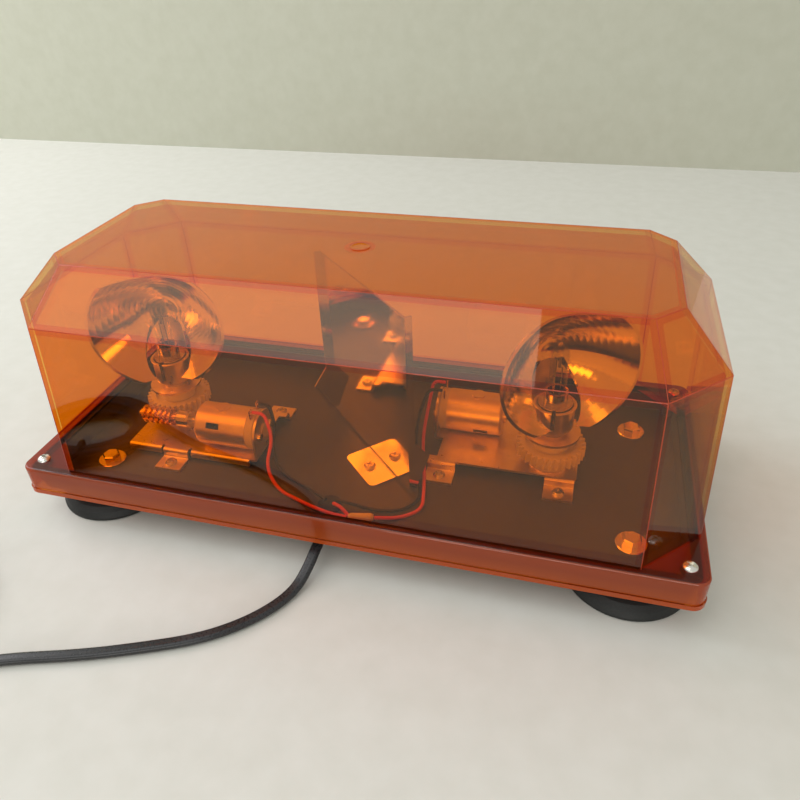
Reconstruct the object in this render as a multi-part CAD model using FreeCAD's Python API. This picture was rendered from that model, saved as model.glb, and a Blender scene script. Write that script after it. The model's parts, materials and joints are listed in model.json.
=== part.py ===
import FreeCAD, Part
import math
import os
from FreeCAD import Vector

# Twin rotating beacon: a faceted amber dome on a moulded tray, two motor-driven
# reflectors that turn round upright halogen lamps, magnetic feet and a supply cord.
# Millimetres. +X runs along the bar, +Y to its back, +Z up; Z = 0 is the surface it
# stands on, below the middle of the bar.

# ---- stance and tray ------------------------------------------------------------
foot_height = 19.5
tray_floor = 2.5
tray_wall = 2.5
tray_draft = 3.0
tray_corner = 6.0
tray_edge_round = 3.5
tray_rim_z = 35.4
gasket_thickness = 1.6

# ---- dome -----------------------------------------------------------------------
dome_wall = 3.0
dome_base_half_x = 200.0
dome_base_half_y = 88.2
dome_base_cut = 31.0
dome_knee_rise = 97.8
dome_knee_half_x = 194.6
dome_knee_half_y = 82.2
dome_knee_cut = 29.6
dome_top_rise = 124.1
dome_top_half_x = 170.2
dome_top_half_y = 54.8
dome_top_cut = 13.9
dome_edge_round = 0.8
flange_overhang = 3.2
flange_thickness = 3.0
flange_corner = 7.5
lip_height = 14.5
lip_wall = 2.6
lip_gap_x = 1.0
lip_gap_y = 0.2
lip_bead = 0.7
lip_bead_height = 3.2
gate_ring_radius = 5.8
gate_ring_width = 1.4
gate_ring_height = 0.5

# ---- dome screws ----------------------------------------------------------------
dome_screw_inset_x = 10.2
dome_screw_inset_y = 10.9
dome_screw_radius = 2.0
dome_screw_head_radius = 4.0
dome_screw_head_height = 2.4
dome_screw_length = 14.0
screw_clearance = 0.3
post_radius = 4.6

# ---- feet -----------------------------------------------------------------------
foot_inset_x = 32.6
foot_inset_y = 35.6
foot_radius = 36.0
foot_sole = 1.5
magnet_radius = 29.0
magnet_height = 7.0
foot_neck_radius = 13.0
foot_bolt_radius = 3.0
foot_bolt_flats = 10.0
foot_bolt_head = 4.0
foot_bolt_tip_z = 3.5
washer_radius = 9.0
washer_thickness = 1.6

# ---- rotator unit, measured from its own spin axis --------------------------------
rotator_left_inset = 57.6
rotator_right_inset = 83.6
left_heading = -70.0
right_heading = -60.0
sheet = 1.5
bend = 1.0
shelf_rise = 5.5
shelf_left = -18.0
shelf_right = 76.0
shelf_front = -40.0
shelf_back = 13.0
skirt_depth = 4.0
foot_tab_width = 18.0
foot_tab_length = 12.0
foot_tab_gap = 1.0
front_tab_x = 17.0
rear_tab_left_x = -8.0
rear_tab_right_x = 66.0
tab_screw_radius = 2.0
tab_screw_head_radius = 3.8
tab_screw_head_height = 2.2
tab_screw_length = 8.0
boss_radius = 4.5
boss_depth = 6.0

# ---- worm drive -----------------------------------------------------------------
module = 1.25
wheel_teeth = 32
worm_pitch_radius = 5.0
wheel_face = 7.0
wheel_hub_radius = 11.5
wheel_hub_top = 14.0
wheel_web = 3.2
wheel_rim_inner = 15.5
tooth_backlash = 0.34
worm_turns = 6
worm_clearance = 0.35
shaft_radius = 2.0
post_outer_radius = 8.0
post_bore_radius = 5.2
running_gap = 0.06
thrust_gap = 0.1

# ---- motor ----------------------------------------------------------------------
motor_radius = 14.0
motor_length = 36.0
motor_edge = 2.0
motor_cap_length = 6.0
motor_cap_radius = 13.7
motor_boss_radius = 5.0
motor_boss_length = 2.0
motor_vent_length = 9.0
motor_vent_width = 4.0
motor_mark_radius = 4.5
terminal_spacing = 10.0
terminal_width = 3.2
terminal_thickness = 0.8
terminal_set_back = 2.4
terminal_proud = 4.5
motor_plate_height = 28.5
motor_plate_width = 30.0
motor_screw_pitch = 16.0
collar_radius = 6.0
collar_length = 9.0

# ---- lamp and reflector -----------------------------------------------------------
beam_height = 103.0
focal_length = 14.0
mouth_radius = 41.0
reflector_wall = 1.4
reflector_lip = 1.8
crop_above = 32.0
crop_below = 38.0
lamp_hole_radius = 15.0
socket_radius = 12.0
socket_wall = 1.0
socket_height = 18.0
lamp_base_radius = 7.0
lamp_base_height = 9.0
lamp_glass_radius = 5.4
lamp_glass_wall = 0.7
lamp_tip_above_beam = 11.0
filament_length = 6.0
filament_radius = 0.9
carrier_ring_radius = 19.0
arm_width = 15.0
arm_boss_radius = 6.0
arm_boss_depth = 2.4

# ---- centre mirror ----------------------------------------------------------------
mirror_length = 108.0
mirror_angle = -45.0
mirror_centre_x = -2.0
mirror_centre_y = -2.0
mirror_sheet = 1.2
mirror_top_z = 144.0
mirror_gap_below = 2.0
mirror_fold = 4.0
gusset_reach = 14.0
gusset_peak = 24.0
gusset_top = 37.0
mirror_foot_slit = 1.0
mirror_foot_length = 36.0
mirror_foot_depth = 19.0
mirror_foot_corner = 4.0
mirror_screw_inset = 9.0

# ---- wiring inside ----------------------------------------------------------------
wire_radius = 1.1
crimp_radius = 2.6
crimp_length = 15.0
crimp_taper = 0.8
crimp_mouth = 1.5
crimp_slant = 12.0
crimp_beyond_gland = 15.0
crimp_y = -71.4

# ---- supply cord ------------------------------------------------------------------
cord_radius = 2.5
cord_exit_x = -9.0
cord_exit_y = -78.0
cord_exit_z = 13.0
gland_x = -9.0
gland_inset = 26.6
gland_stem_radius = 4.8
gland_body_radius = 6.4
gland_mouth_radius = 4.4
gland_rib = 0.8
cord_route = [
    (-9, -78, 13), (-9, -88, 13), (-10, -99, 8.4), (-13.5, -112, 2.7), (-21, -127, 2.7),
    (-34, -142, 2.7), (-52, -155.5, 2.7), (-77, -167, 2.7), (-108, -179.5, 2.7),
    (-146, -191, 2.7), (-172, -203.5, 2.7), (-196.5, -215.8, 2.7),
]
tail_route = [
    (-271.5, -204.5, 6.0), (-275.6, -193.2, 7.5), (-281.5, -180.5, 10.5), (-286.4, -168.5, 10.5),
]
coil_x = -230.0
coil_y = -184.0
coil_mid_radius = 36.0
coil_half_width = 10.5
coil_height = 14.0
coil_round = 4.0
plug_radius = 10.5
plug_length = 46.0
plug_nose_radius = 9.0
plug_nose_length = 18.0
plug_tip_radius = 3.0
plug_tip_length = 12.0
plug_tip_proud = 6.0
plug_tip_travel = 4.0
boot_length = 16.0
boot_tip_radius = 4.0

# ---- worked out from the sizes above ------------------------------------------------
tray_bottom_z = foot_height
floor_z = tray_bottom_z + tray_floor
flange_under_z = tray_rim_z + gasket_thickness
flange_top_z = flange_under_z + flange_thickness
knee_z = flange_top_z + dome_knee_rise
dome_top_z = flange_top_z + dome_top_rise
lip_bottom_z = flange_top_z - lip_height
flange_half_x = dome_base_half_x + flange_overhang
flange_half_y = dome_base_half_y + flange_overhang
tray_half_x = flange_half_x - lip_wall - lip_gap_x
tray_half_y = flange_half_y - lip_wall - lip_gap_y
foot_x = tray_half_x - foot_inset_x
foot_y = tray_half_y - foot_inset_y
rotator_left_x = rotator_left_inset - tray_half_x
rotator_right_x = tray_half_x - rotator_right_inset
gland_y = gland_inset - tray_half_y
dome_screw_x = flange_half_x - dome_screw_inset_x
dome_screw_y = flange_half_y - dome_screw_inset_y
shelf_z = floor_z + shelf_rise
shelf_top_z = shelf_z + sheet
wheel_pitch_radius = module * wheel_teeth / 2
centre_distance = wheel_pitch_radius + worm_pitch_radius
mesh_z = shelf_top_z + motor_radius
wheel_bottom_z = mesh_z - wheel_face / 2
hub_top_z = mesh_z - wheel_face / 2 + wheel_hub_top
post_top_z = hub_top_z + sheet + thrust_gap + 2.0
motor_left = shelf_right - sheet - motor_cap_length - motor_length
terminal_top_z = mesh_z + motor_cap_radius + terminal_proud
worm_pitch = math.pi * module
worm_length = worm_pitch * worm_turns

ORIGIN = Vector(0, 0, 0)
X = Vector(1, 0, 0)
Y = Vector(0, 1, 0)
Z = Vector(0, 0, 1)


# ---- shape helpers ----------------------------------------------------------------
def rod(radius, start, end):
    """A round bar between two points."""
    start, end = Vector(*start), Vector(*end)
    return Part.makeCylinder(radius, (end - start).Length, start, end - start)


def post(radius, low, high, x=0.0, y=0.0):
    return rod(radius, (x, y, low), (x, y, high))


def block(one, other):
    """A box between two opposite corners."""
    low = Vector(*(min(a, b) for a, b in zip(one, other)))
    size = Vector(*(max(a, b) for a, b in zip(one, other))) - low
    return Part.makeBox(size.x, size.y, size.z, low)


def turned(profile, axis=Z, base=ORIGIN):
    """A solid turned round an axis from a closed (radius, height) outline."""
    side = Y if axis == X else X
    points = [base + side * r + axis * h for r, h in profile]
    face = Part.Face(Part.makePolygon(points + points[:1]))
    return face.revolve(base, axis, 360)


def rounded_outline(half_x, half_y, radius, z):
    """A rectangle with round corners, centred on the bar."""
    edges = []
    corners = [(1, -1, -90), (1, 1, 0), (-1, 1, 90), (-1, -1, 180)]
    arcs = []
    for sx, sy, first in corners:
        centre = Vector(sx * (half_x - radius), sy * (half_y - radius), z)
        arcs.append(Part.makeCircle(radius, centre, Z, first, first + 90))
    for arc, following in zip(arcs, arcs[1:] + arcs[:1]):
        edges.append(arc)
        edges.append(Part.makeLine(arc.valueAt(arc.LastParameter),
                                   following.valueAt(following.FirstParameter)))
    return Part.Wire(edges)


def faceted_outline(half_x, half_y, cut, z):
    """A rectangle with its four corners cut at 45 degrees."""
    corners = [
        (half_x, -half_y + cut), (half_x, half_y - cut), (half_x - cut, half_y),
        (-half_x + cut, half_y), (-half_x, half_y - cut), (-half_x, -half_y + cut),
        (-half_x + cut, -half_y), (half_x - cut, -half_y),
    ]
    points = [Vector(x, y, z) for x, y in corners]
    return Part.makePolygon(points + points[:1])


def prism(outline, height):
    return Part.Face(outline).extrude(Z * height)


def lofted(outlines):
    return Part.makeLoft(outlines, True, True)


def hexagon(flats, low, high, x=0.0, y=0.0):
    across = flats / math.sqrt(3)
    points = [Vector(x + across * math.cos(math.radians(a)),
                     y + across * math.sin(math.radians(a)), low) for a in range(30, 390, 60)]
    return prism(Part.makePolygon(points + points[:1]), high - low)


def four(x, y):
    """The four places that mirror one another about the middle of the bar."""
    return [(-x, -y), (x, -y), (x, y), (-x, y)]


def joined(solids):
    return Part.makeCompound(solids)


def fused(first, *others):
    return first.multiFuse(list(others)).removeSplitter()


def rounded_path(points):
    """Straight runs joined by tangent arcs, and the arcs' radii."""
    points = [Vector(*p) for p in points]
    edges = []
    radii = []
    last = points[0]
    for before, here, after in zip(points, points[1:], points[2:]):
        back = (before - here).normalize()
        ahead = (after - here).normalize()
        half_turn = (math.pi - back.getAngle(ahead)) / 2
        set_back = 0.45 * min((before - here).Length, (after - here).Length)
        radius = set_back / math.tan(half_turn)
        start = here + back * set_back
        end = here + ahead * set_back
        middle_direction = (back + ahead).normalize()
        centre = here + middle_direction * (radius / math.cos(half_turn))
        middle = centre - middle_direction * radius
        edges.append(Part.LineSegment(last, start).toShape())
        edges.append(Part.Arc(start, middle, end).toShape())
        radii.append(radius)
        last = end
    edges.append(Part.LineSegment(last, points[-1]).toShape())
    return Part.Wire(edges), radii


def tube(points, radius):
    """A round lead along a rounded path."""
    path, radii = rounded_path(points)
    direction = Vector(*points[1]) - Vector(*points[0])
    circle = Part.makeCircle(radius, Vector(*points[0]), direction)
    return path.makePipeShell([Part.Wire(circle)], True, False), path, radii


def side_line(points, distance):
    """A flat polyline moved sideways by a distance, with mitred corners."""
    moved = []
    for i, (x, y) in enumerate(points):
        normals = []
        for a, b in ((i - 1, i), (i, i + 1)):
            if a >= 0 and b < len(points):
                dx, dy = points[b][0] - points[a][0], points[b][1] - points[a][1]
                length = math.hypot(dx, dy)
                normals.append((-dy / length, dx / length))
        nx = sum(n[0] for n in normals) / len(normals)
        ny = sum(n[1] for n in normals) / len(normals)
        scale = distance / (nx * nx + ny * ny)
        moved.append((x + nx * scale, y + ny * scale))
    return moved


def bent_sheet(points, thickness, inner_radius, across, depth, along):
    """Sheet bent along a flat polyline of its middle, extruded along one axis.

    The polyline's two directions are across and Z; depth gives the extrusion's ends.
    """
    sides = []
    for sign in (1, -1):
        edge = side_line(points, sign * thickness / 2)
        corners = [across * u + Z * v + along * depth[0] for u, v in edge]
        sides.append(corners)
    outline = sides[0] + sides[1][::-1]
    solid = Part.Face(Part.makePolygon(outline + outline[:1])).extrude(
        along * (depth[1] - depth[0]))
    inner, outer = [], []
    for i in range(1, len(points) - 1):
        left, right = sides[0][i], sides[1][i]
        (ax, ay), (bx, by), (cx, cy) = points[i - 1], points[i], points[i + 1]
        turn = (bx - ax) * (cy - by) - (by - ay) * (cx - bx)
        inside, outside = (left, right) if turn > 0 else (right, left)
        for corner, group in ((inside, inner), (outside, outer)):
            for edge in solid.Edges:
                vertices = edge.Vertexes
                if len(vertices) == 2 and all(
                        abs((v.Point - corner).cross(along).Length) < 1e-4 for v in vertices):
                    group.append(edge)
    solid = solid.makeFillet(inner_radius + thickness, outer)
    wanted = [e.CenterOfMass for e in inner]
    edges = [e for e in solid.Edges for w in wanted if e.CenterOfMass.distanceToPoint(w) < 1e-3]
    return solid.makeFillet(inner_radius, edges)


def pan_screw(x, y, seat_z, radius, head_radius, head_height, length):
    """A pan-head screw with a cross recess, standing on its seat."""
    head = turned([(0, 0), (head_radius, 0), (head_radius, head_height * 0.45),
                   (head_radius * 0.72, head_height), (0, head_height)])
    recess = head_radius * 0.62
    slot = head_radius * 0.11
    for across, along in ((recess, slot), (slot, recess)):
        head = head.cut(block((-across, -along, head_height * 0.35), (across, along, head_height + 1)))
    screw = head.fuse(post(radius, -length, 0))
    screw.translate(Vector(x, y, seat_z))
    return screw


# ---- dome and tray ------------------------------------------------------------------
def dome_shell():
    levels = [
        faceted_outline(dome_base_half_x, dome_base_half_y, dome_base_cut, flange_top_z),
        faceted_outline(dome_knee_half_x, dome_knee_half_y, dome_knee_cut, knee_z),
        faceted_outline(dome_top_half_x, dome_top_half_y, dome_top_cut, dome_top_z),
    ]
    outer = lofted(levels[:2]).fuse(lofted(levels[1:])).removeSplitter()
    upper_edges = [e for e in outer.Edges if e.BoundBox.ZMax > flange_top_z + 1]
    outer = outer.makeFillet(dome_edge_round, upper_edges)
    slope = (dome_base_half_y - dome_knee_half_y) / dome_knee_rise
    drop = flange_top_z - flange_under_z
    inner_levels = [
        faceted_outline(dome_base_half_x + slope * drop - dome_wall,
                        dome_base_half_y + slope * drop - dome_wall,
                        dome_base_cut - 0.6 * dome_wall, flange_under_z - 1),
        faceted_outline(dome_knee_half_x - dome_wall, dome_knee_half_y - dome_wall,
                        dome_knee_cut - 0.6 * dome_wall, knee_z - 0.4 * dome_wall),
        faceted_outline(dome_top_half_x - 0.5 * dome_wall, dome_top_half_y - 0.5 * dome_wall,
                        dome_top_cut, dome_top_z - dome_wall),
    ]
    inner = lofted(inner_levels[:2]).fuse(lofted(inner_levels[1:])).removeSplitter()
    return outer, inner


def lens_dome():
    outer, inner = dome_shell()
    plate = prism(rounded_outline(flange_half_x, flange_half_y, flange_corner, lip_bottom_z),
                  lip_height)
    plate = plate.makeFillet(1.6, [e for e in plate.Edges if e.BoundBox.ZMin > flange_top_z - 0.01])
    bead = prism(rounded_outline(flange_half_x + lip_bead, flange_half_y + lip_bead,
                                 flange_corner + lip_bead, lip_bottom_z), lip_bead_height)
    hollow = prism(rounded_outline(flange_half_x - lip_wall, flange_half_y - lip_wall,
                                   flange_corner - lip_wall, lip_bottom_z - 1),
                   flange_under_z - lip_bottom_z + 1)
    ring = post(gate_ring_radius, dome_top_z - 0.1, dome_top_z + gate_ring_height)
    ring = ring.cut(post(gate_ring_radius - gate_ring_width, dome_top_z, dome_top_z + 2))
    dome = plate.fuse([bead, outer, ring]).cut(hollow).cut(inner)
    for x, y in four(dome_screw_x, dome_screw_y):
        dome = dome.cut(post(dome_screw_radius + screw_clearance, lip_bottom_z, flange_top_z + 1, x, y))
    return dome.removeSplitter()


def base_tray():
    low_x, low_y = tray_half_x - tray_draft, tray_half_y - tray_draft
    outer = lofted([rounded_outline(low_x, low_y, tray_corner, tray_bottom_z),
                    rounded_outline(tray_half_x, tray_half_y, tray_corner, tray_rim_z)])
    bottom = [e for e in outer.Edges if e.BoundBox.ZMax < tray_bottom_z + 0.01]
    outer = outer.makeFillet(tray_edge_round, bottom)
    inner = lofted([
        rounded_outline(low_x - tray_wall, low_y - tray_wall, tray_corner - tray_wall, floor_z),
        rounded_outline(tray_half_x - tray_wall, tray_half_y - tray_wall,
                        tray_corner - tray_wall, tray_rim_z + 0.01),
    ])
    tray = outer.cut(inner)
    added = []
    removed = []
    for x, y in four(dome_screw_x, dome_screw_y):
        added.append(post(post_radius, floor_z - 0.5, tray_rim_z, x, y))
        removed.append(post(dome_screw_radius, tray_rim_z - dome_screw_length, tray_rim_z + 1, x, y))
    for x, y in four(foot_x, foot_y):
        added.append(post(foot_neck_radius, tray_bottom_z - 1.2, tray_bottom_z + 0.5, x, y))
        removed.append(post(foot_bolt_radius + screw_clearance, tray_bottom_z - 2, floor_z + 1, x, y))
    for x, y in bracket_screw_places() + mirror_screw_places():
        added.append(post(boss_radius, floor_z - boss_depth, floor_z - 0.5, x, y))
        removed.append(post(tab_screw_radius, floor_z - boss_depth - 1, floor_z + 1, x, y))
    removed.append(post(gland_stem_radius, tray_bottom_z - 1, floor_z + 1, gland_x, gland_y))
    return fused(tray, *added).cut(joined(removed)).removeSplitter()


def dome_gasket():
    outer = prism(rounded_outline(tray_half_x, tray_half_y, tray_corner, tray_rim_z), gasket_thickness)
    inner = prism(rounded_outline(tray_half_x - 2 * tray_wall, tray_half_y - 2 * tray_wall,
                                  tray_corner - tray_wall, tray_rim_z - 1), gasket_thickness + 2)
    gasket = outer.cut(inner)
    for x, y in four(dome_screw_x, dome_screw_y):
        eye = post(post_radius, tray_rim_z, flange_under_z, x, y)
        gasket = gasket.fuse(eye)
    for x, y in four(dome_screw_x, dome_screw_y):
        gasket = gasket.cut(post(dome_screw_radius + screw_clearance, tray_rim_z - 1, flange_top_z, x, y))
    return gasket.removeSplitter()


def dome_screws():
    return joined([pan_screw(x, y, flange_top_z, dome_screw_radius, dome_screw_head_radius,
                             dome_screw_head_height, dome_screw_length)
                   for x, y in four(dome_screw_x, dome_screw_y)])


# ---- feet ---------------------------------------------------------------------------
def foot_boot(x, y):
    """A rubber boot: flared skirt, sloping shoulder, neck up to the tray."""
    seat_z = tray_bottom_z - 1.2
    magnet_top = foot_sole + magnet_height
    skirt = turned([
        (0, 0), (foot_radius - 0.8, 0), (foot_radius, 0.8), (foot_radius, 2.2),
        (foot_radius - 1.6, 5.6), (foot_radius - 4.4, 8.6), (foot_radius - 8.5, magnet_top + 2.2),
        (foot_neck_radius + 2.5, magnet_top + 3.4), (foot_neck_radius, magnet_top + 5.0),
        (foot_neck_radius, seat_z), (0, seat_z),
    ])
    cavity = post(magnet_radius, foot_sole, magnet_top)
    bore = post(foot_bolt_radius + screw_clearance, magnet_top - 1, seat_z + 1)
    boot = skirt.cut(cavity).cut(bore)
    boot.translate(Vector(x, y, 0))
    return boot


def foot_magnet(x, y):
    disc = post(magnet_radius, foot_sole, foot_sole + magnet_height, x, y)
    return disc.cut(post(foot_bolt_radius, foot_bolt_tip_z, foot_sole + magnet_height + 1, x, y))


def foot_washers():
    return joined([
        post(washer_radius, floor_z, floor_z + washer_thickness, x, y).cut(
            post(foot_bolt_radius + screw_clearance, floor_z - 1, floor_z + 5, x, y))
        for x, y in four(foot_x, foot_y)])


def foot_bolts():
    seat = floor_z + washer_thickness
    bolts = []
    for x, y in four(foot_x, foot_y):
        head = hexagon(foot_bolt_flats, seat, seat + foot_bolt_head, x, y)
        crown = turned([(0, 0), (foot_bolt_flats * 0.5, 0), (foot_bolt_flats * 0.62, -1.0),
                        (foot_bolt_flats * 0.62, -foot_bolt_head - 1), (0, -foot_bolt_head - 1)],
                       base=Vector(x, y, seat + foot_bolt_head))
        bolts.append(head.common(crown).fuse(post(foot_bolt_radius, foot_bolt_tip_z, seat, x, y)))
    return joined(bolts)


# ---- rotator unit: everything below is drawn round the unit's own spin axis -----------
def placed(shape, side):
    """Moves a unit's piece to its place; the right unit is turned half round."""
    shape = shape.copy()
    if side == "right":
        shape.rotate(ORIGIN, Z, 180)
    shape.translate(Vector(unit_x(side), 0, 0))
    return shape


def unit_x(side):
    return rotator_left_x if side == "left" else rotator_right_x


def heading(side):
    """The beam's direction in the unit's own frame."""
    return left_heading if side == "left" else right_heading - 180


def tab_places():
    """Where the bracket's three feet are screwed down."""
    reach = foot_tab_gap + sheet + foot_tab_length / 2
    return [(front_tab_x, shelf_front - reach), (rear_tab_left_x, shelf_back + reach),
            (rear_tab_right_x, shelf_back + reach)]


def bracket_screw_places():
    places = []
    for side, sign in (("left", 1), ("right", -1)):
        places += [(unit_x(side) + sign * x, sign * y) for x, y in tab_places()]
    return places


def foot_tab(x, y, edge_y):
    """A foot bent down from the shelf's edge to the tray floor."""
    outward = 1 if y > 0 else -1
    wall_y = edge_y + outward * (foot_tab_gap + sheet / 2)
    high = shelf_z + sheet / 2
    low = floor_z + sheet / 2
    line = [(edge_y - outward * 4, high), (wall_y, high), (wall_y, low),
            (wall_y + outward * (foot_tab_length + sheet / 2), low)]
    tab = bent_sheet(line, sheet, bend, Y, (x - foot_tab_width / 2, x + foot_tab_width / 2), X)
    return tab.cut(post(tab_screw_radius + screw_clearance, floor_z - 1, floor_z + 4, x, y))


def drive_bracket():
    """The bent steel shelf that carries motor, wheel post and lamp."""
    mid = shelf_z + sheet / 2
    line = [(shelf_back, mid), (shelf_front - sheet / 2, mid), (shelf_front - sheet / 2, mid - skirt_depth)]
    shelf = bent_sheet(line, sheet, bend, Y, (shelf_left, shelf_right - 6), X)
    plate_line = [(shelf_right - 12, mid), (shelf_right - sheet / 2, mid),
                  (shelf_right - sheet / 2, mid + motor_plate_height)]
    half = motor_plate_width / 2
    plate = bent_sheet(plate_line, sheet, bend, X, (-centre_distance - half, -centre_distance + half), Y)
    upper = block((shelf_right - 20, -centre_distance - half - 1, mid + motor_plate_height - half + 1),
                  (shelf_right + 1, -centre_distance + half + 1, mid + motor_plate_height + 1))
    top_round = rod(half, (shelf_right - 20, -centre_distance, mid + motor_plate_height - half),
                    (shelf_right + 1, -centre_distance, mid + motor_plate_height - half))
    plate = plate.cut(upper.cut(top_round))
    front_x, front_y = tab_places()[0]
    notch = block((front_x - foot_tab_width / 2 - 2, shelf_front - 6, mid - skirt_depth - 1),
                  (front_x + foot_tab_width / 2 + 2, shelf_front + 2, mid + 2))
    shelf = shelf.cut(notch)
    tabs = [foot_tab(x, y, shelf_back if y > 0 else shelf_front) for x, y in tab_places()]
    bracket = fused(shelf, plate, *tabs)
    holes = [post(post_bore_radius, shelf_z - 1, shelf_top_z + 1)]
    slot_y = -centre_distance
    holes.append(block((motor_left + 6, slot_y - 3, shelf_z - 1),
                       (motor_left + 26, slot_y + 3, shelf_top_z + 1)))
    holes.append(rod(motor_boss_radius + screw_clearance, (shelf_right - 4, slot_y, mesh_z),
                     (shelf_right + 1, slot_y, mesh_z)))
    for offset in (-motor_screw_pitch / 2, motor_screw_pitch / 2):
        holes.append(rod(1.5 + screw_clearance, (shelf_right - 4, slot_y + offset, mesh_z),
                         (shelf_right + 1, slot_y + offset, mesh_z)))
    return bracket.cut(joined(holes)).removeSplitter()


def bracket_screws():
    screws = [pan_screw(x, y, floor_z + sheet, tab_screw_radius, tab_screw_head_radius,
                        tab_screw_head_height, tab_screw_length - sheet) for x, y in tab_places()]
    for offset in (-motor_screw_pitch / 2, motor_screw_pitch / 2):
        y = -centre_distance + offset
        screws.append(turned([(0, 0), (2.8, 0), (2.4, 1.8), (0, 1.8)], X, Vector(shelf_right, y, mesh_z)).fuse(
            rod(1.5, (shelf_right - sheet - 3.0, y, mesh_z), (shelf_right, y, mesh_z))))
    return joined(screws)


def axle_post():
    """The fixed hollow post that the wheel turns on and the lamp stands on."""
    profile = [
        (post_bore_radius - 1.2, shelf_z), (post_bore_radius, shelf_z), (post_bore_radius, shelf_top_z),
        (post_outer_radius + 4, shelf_top_z), (post_outer_radius + 4, shelf_top_z + 1.5),
        (post_outer_radius, shelf_top_z + 1.5), (post_outer_radius, post_top_z),
        (post_bore_radius - 1.2, post_top_z),
    ]
    return turned(profile)


def gear_outline(z, turn):
    """The wheel's outline: straight-flanked teeth with one gap facing the worm."""
    tip = wheel_pitch_radius + module
    root = wheel_pitch_radius - 1.25 * module
    pitch_angle = 2 * math.pi / wheel_teeth
    half_pitch = math.pi * module / 4 - tooth_backlash / 2
    slope = math.tan(math.radians(20))
    points = []
    for k in range(wheel_teeth):
        middle = -math.pi / 2 + (k + 0.5) * pitch_angle + turn
        half_tip = (half_pitch - module * slope) / tip
        half_root = (half_pitch + 1.25 * module * slope) / root
        for radius, angle in ((root, middle - half_root), (tip, middle - half_tip),
                              (tip, middle + half_tip), (root, middle + half_root)):
            points.append(Vector(radius * math.cos(angle), radius * math.sin(angle), z))
    return Part.makePolygon(points + points[:1])


def worm_wheel():
    """A helical wheel with a dished web, on a hub that runs on the post."""
    lead_angle = math.atan(module / (2 * worm_pitch_radius))
    twist = wheel_face * math.tan(lead_angle) / wheel_pitch_radius
    top_z = wheel_bottom_z + wheel_face
    teeth = lofted([gear_outline(wheel_bottom_z, -twist / 2), gear_outline(top_z, twist / 2)])
    bore = post_outer_radius + running_gap
    web_low = mesh_z - wheel_web / 2
    web_high = mesh_z + wheel_web / 2
    recess_low = turned([(wheel_hub_radius, wheel_bottom_z - 1), (wheel_rim_inner, wheel_bottom_z - 1),
                         (wheel_rim_inner, web_low), (wheel_hub_radius, web_low)])
    recess_high = turned([(wheel_hub_radius, web_high), (wheel_rim_inner, web_high),
                          (wheel_rim_inner, top_z + 1), (wheel_hub_radius, top_z + 1)])
    hub = post(wheel_hub_radius, shelf_top_z + 1.5 + thrust_gap, hub_top_z)
    wheel = teeth.cut(recess_low).cut(recess_high).fuse(hub)
    return wheel.cut(post(bore, shelf_top_z, hub_top_z + 1)).removeSplitter()


def worm():
    """A single-start right-hand worm, its core bored for the motor shaft."""
    root = worm_pitch_radius - 1.25 * module
    tip = worm_pitch_radius + module - worm_clearance
    slope = math.tan(math.radians(20))
    half_pitch = math.pi * module / 4 - tooth_backlash / 2
    half_tip = half_pitch - (tip - worm_pitch_radius) * slope
    half_root = half_pitch + (worm_pitch_radius - root + 0.2) * slope
    helix = Part.makeHelix(worm_pitch, worm_length, worm_pitch_radius)
    section = Part.makePolygon([
        Vector(root - 0.2, 0, -half_root), Vector(tip, 0, -half_tip),
        Vector(tip, 0, half_tip), Vector(root - 0.2, 0, half_root), Vector(root - 0.2, 0, -half_root)])
    thread = Part.Wire(helix).makePipeShell([section], True, True)
    core = post(root, -2.0, worm_length + 2.0)
    body = core.fuse(thread).cut(post(shaft_radius, -3.0, worm_length + 3.0))
    # Axis Z becomes X, and the thread's start faces the wheel, one thread in the wheel's gap.
    body.rotate(ORIGIN, Y, 90)
    body.rotate(ORIGIN, X, 90)
    start = -worm_pitch * round(worm_turns / 2)
    body.translate(Vector(start, -centre_distance, mesh_z))
    return body.removeSplitter()


def motor_shaft():
    """The shaft and the collar that joins it to the worm."""
    start = -worm_pitch * round(worm_turns / 2)
    collar_left = start + worm_length + 2.0
    shaft = rod(shaft_radius, (start - 3.5, -centre_distance, mesh_z),
                (motor_left + 8, -centre_distance, mesh_z))
    collar = turned([(shaft_radius - 0.5, 0), (collar_radius - 1, 0), (collar_radius, 1),
                     (collar_radius, collar_length - 1), (collar_radius - 1, collar_length),
                     (shaft_radius - 0.5, collar_length)], X, Vector(collar_left, -centre_distance, mesh_z))
    return shaft.fuse(collar).removeSplitter()


def motor_can():
    """A drawn steel can with a bearing boss, vents and a staked mark on top."""
    base = Vector(motor_left, -centre_distance, mesh_z)
    can = post(motor_radius, 0, motor_length)
    can = can.makeFillet(motor_edge, [e for e in can.Edges if e.BoundBox.ZMax < 0.1])
    can = can.fuse(post(motor_boss_radius, -motor_boss_length, 1))
    can = can.cut(post(motor_radius - 1.2, 1.2, motor_length + 1))
    can = can.cut(post(shaft_radius + running_gap, -motor_boss_length - 1, 3))
    for angle in (60, 240):
        vent = block((motor_radius - 3, -motor_vent_width / 2, 9),
                     (motor_radius + 2, motor_vent_width / 2, 9 + motor_vent_length))
        vent.rotate(ORIGIN, Z, angle)
        can = can.cut(vent)
    mark = rod(motor_mark_radius, (-motor_radius + 1.0, 0, 17), (-motor_radius - 0.7, 0, 17))
    can = can.fuse(mark)
    can.rotate(ORIGIN, Y, 90)
    can.translate(base)
    return can.removeSplitter()


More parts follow.
